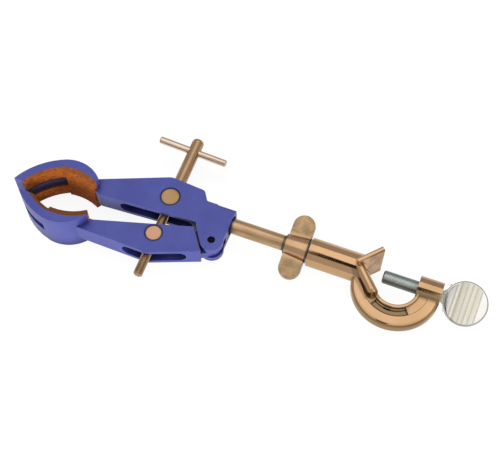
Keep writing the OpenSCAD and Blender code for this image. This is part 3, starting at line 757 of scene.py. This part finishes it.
def make_lamp(name, direction, distance, size, power):
    """A soft lamp that lights the object without being mirrored in it."""
    data = bpy.data.lights.new(name, "AREA")
    data.shape = "RECTANGLE"
    data.size, data.size_y = size
    data.energy = power
    lamp = aim(add_object(name, data), CAMERA_TARGET + direction.normalized() * distance, CAMERA_TARGET)
    lamp.visible_glossy = False


def stage_card(mesh, shader, strength):
    """Makes a mesh glow, out of the picture, so that only polished surfaces show it."""
    glow = shader.add("ShaderNodeEmission", {"Color": (1, 1, 1, 1), "Strength": strength})
    shader.add("ShaderNodeOutputMaterial", {"Surface": glow.outputs["Emission"]})
    mesh.materials.append(shader.owner)
    card = add_object(mesh.name, mesh)
    card.visible_camera = False
    card.visible_diffuse = False
    card.visible_shadow = False
    return card


def make_lens_card(place, seen_from, width, height):
    """The dark space round the lens, blackest along its middle and at its +X end."""
    s = Shader("lens_card")
    point = s.place()
    level = s.spread(s.size_of(point["Y"]), height * 0.27, height * 0.5, LENS_MIDDLE, LENS_SIDES)
    strength = s.times(level, s.spread(point["X"], width * 0.24, width * 0.32, 1, LENS_END_SHARE))
    aim(stage_card(flat_card("lens_card", width / 2, height / 2), s, strength), place, seen_from)


def make_room(radius, height, segments=64):
    """A dim wall round the object, with its own level in front of the object and behind it."""
    s = Shader("room_wall")
    strength = s.spread(s.place()["Y"], -radius, radius, ROOM_FRONT, ROOM_BEHIND)
    corners = [(radius * math.cos(a), radius * math.sin(a)) for a in turns(segments)]
    faces = []
    for i in range(segments):
        after = (i + 1) % segments
        faces.append((i, after, segments + after, segments + i))
    mesh = bpy.data.meshes.new("room_wall")
    mesh.from_pydata([(x, y, z) for z in (FLOOR_Z, height) for x, y in corners], [], faces)
    stage_card(mesh, s, strength)


SMOOTH = smooth_group()

make_camera()
make_world()
make_floor()
make_lamp("key", direction=Vector((-0.25, 0.35, 1)), distance=1.1, size=(0.9, 0.6), power=KEY_POWER)
make_lamp("fill", direction=Vector((0.2, -1, 0.4)), distance=1.2, size=(0.9, 0.5), power=FILL_POWER)
make_lens_card(Vector((-37, -345, 658)) * MM, seen_from=Vector((-7, 0, 0)) * MM, width=0.197, height=0.44)
make_room(radius=1.5, height=2.0)

gold_cast = plated("gold_cast", GOLD, CAST_TARNISH_AND_SHADE, 0.10, lumps=0.03, blotch=0.25, dull=shaded_hollows,
                   dark=dark_prong_foot, grime_and_shade=0.8, reach=7)
gold_nut = plated("gold_nut", NUT_GOLD, NUT_TARNISH, 0.22, blotch=0.3, dull=dull_wings, dark=dark_nut_ends)
gold_rod = plated("gold_rod", ROD_GOLD, ROD_TARNISH, 0.32, lumps=0.01, cast=0.10, dull=streaks,
                  dark=dark_rod_ends)
gold_screw = plated("gold_screw", SCREW_GOLD, SCREW_TARNISH, 0.26, blotch=0.7, grime_and_shade=0.3)
gold_bar = plated("gold_bar", BAR_GOLD, BAR_TARNISH, 0.16, blotch=0.25)
gold_barrel = plated("gold_barrel", BARREL_GOLD, BARREL_TARNISH_AND_SHADE, 0.42, lumps=0.05, cast=0.35, blotch=0.5,
                     dull=shaded_rim(*barrel("upper_trunnion")))
# The lower barrel in the brighter copy that paints its highlight, with painted shade round its rim
pink_barrel_highlight = plated("pink_barrel_highlight", BARREL_PINK_HIGHLIGHT, BARREL_HIGHLIGHT_TARNISH_AND_SHADE, 0.42, lumps=0.05, cast=0.35, blotch=0.5,
                     dull=shaded_rim(*barrel("lower_trunnion")))
paint = powder_coat()
cork = cork_sheet()
zinc = zinc_plate()
black = black_oxide()

for name, material, slot, edge in (
        ("boss_head", gold_cast, "plated", 0.6),
        ("wing_nut", gold_nut, "plated", 0.35),
        ("support_rod", gold_rod, "plated", 0.35),
        ("upper_trunnion", gold_barrel, "plated", 0.35),
        ("lower_trunnion", pink_barrel_highlight, "plated", 0.35),
        ("tommy_bar", gold_bar, "plated", 0.35),
        ("fixed_jaw_arm", paint, "paint", 0.7),
        ("moving_jaw_arm", paint, "paint", 0.7),
        ("fixed_jaw_cork", cork, "cork", 0.25),
        ("moving_jaw_cork", cork, "cork", 0.25),
        ("pivot_pin", black, "dark_steel", 0),
        ("retaining_ring", black, "dark_steel", 0)):
    dress(nodes[name], material, edge)

# Web of the tongue along the moving arm's rear edge, which the solids don't have: a sheet that closes the gap
# there, so that the gap shows paint and painted shade rather than the floor
web_half = 2.7
web_outline = ((5, -10.4), (9.6, -10.4), (9.6, -5), (5, -5))
web = tube("tongue_web_shade", [[(x, y, z) for x, y in web_outline] for z in (-web_half, web_half)])
web.transform(Matrix.Translation(PIVOT * MM) @ Matrix.Rotation(REAR_TURN, 4, "Z"))
add_piece(web, "moving_jaw", paint, 0.2)

# Round ridges along the hook's prong of the V, one on each face
ridge_top = 9.9
for side in (1, -1):
    ridge = capsule("prong_ridge", PRONG_R, PRONG_START, PRONG_LENGTH - PRONG_R)
    on_prong = Matrix.Translation(Vector((0, -PRONG_R - SEAM, side * (ridge_top - PRONG_R))) * MM)
    to_vee = Matrix.Translation(Vector((*VEE, 0)) * MM) @ Matrix.Rotation(-VEE_TURN, 4, "Z")
    ridge.transform(to_vee @ on_prong)
    add_piece(ridge, "boss", gold_cast, 0)

# Hook's web, flush with its outer band on both sides of the pocket
for first, last in ((196, 236), (308, 356)):
    sector = ring_sector("hook_web", HOOK_MIDDLE, inner=15.1, outer=20.6, half=3.75, first=first, last=last)
    add_piece(sector, "boss", gold_cast, 0.2)

# Clamp screw, with its thread cut
chamfer = 0.9
shank = [(SHANK_LOW, SHANK_R - chamfer), (SHANK_LOW + chamfer, SHANK_R),
         (SHANK_HIGH - chamfer, SHANK_R), (SHANK_HIGH, SHANK_R - chamfer)]
thread = threaded_shaft("clamp_thread", shank, root_r=4.08)
thread.transform(Matrix.Rotation(math.radians(90), 4, "Y"))
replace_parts(add_piece(thread, "thumb_screw", zinc, 0), "clamp_screw")
head = part_of("clamp_screw", "clamp_head", lambda p: p.x > (SHANK_HIGH + SEAM) * MM
               or math.hypot(p.y, p.z) > (SHANK_R + SEAM) * MM)
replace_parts(add_piece(head, "thumb_screw", zinc, 0.25), "clamp_screw")

# Closing screw, with its thread cut below the retaining ring's groove
stem = [(SCREW_LOW, SCREW_R - 0.6), (SCREW_LOW + 0.6, SCREW_R), (SCREW_THREAD_TOP, SCREW_R)]
thread = threaded_shaft("closing_thread", stem, root_r=2.45)
lean = SCREW_AXIS.to_track_quat("Z", "X").to_matrix().to_4x4()
thread.transform(Matrix.Translation(SCREW_SEAT) @ lean)
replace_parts(add_piece(thread, "closing_screw", gold_screw, 0), "adjusting_screw")
upper = part_of("adjusting_screw", "closing_shank",
                lambda p: (p - SCREW_SEAT).dot(SCREW_AXIS) > (SCREW_THREAD_TOP + SEAM) * MM)
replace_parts(add_piece(upper, "closing_screw", gold_screw, 0.35), "adjusting_screw")

bpy.context.scene.view_settings.view_transform = "Standard"
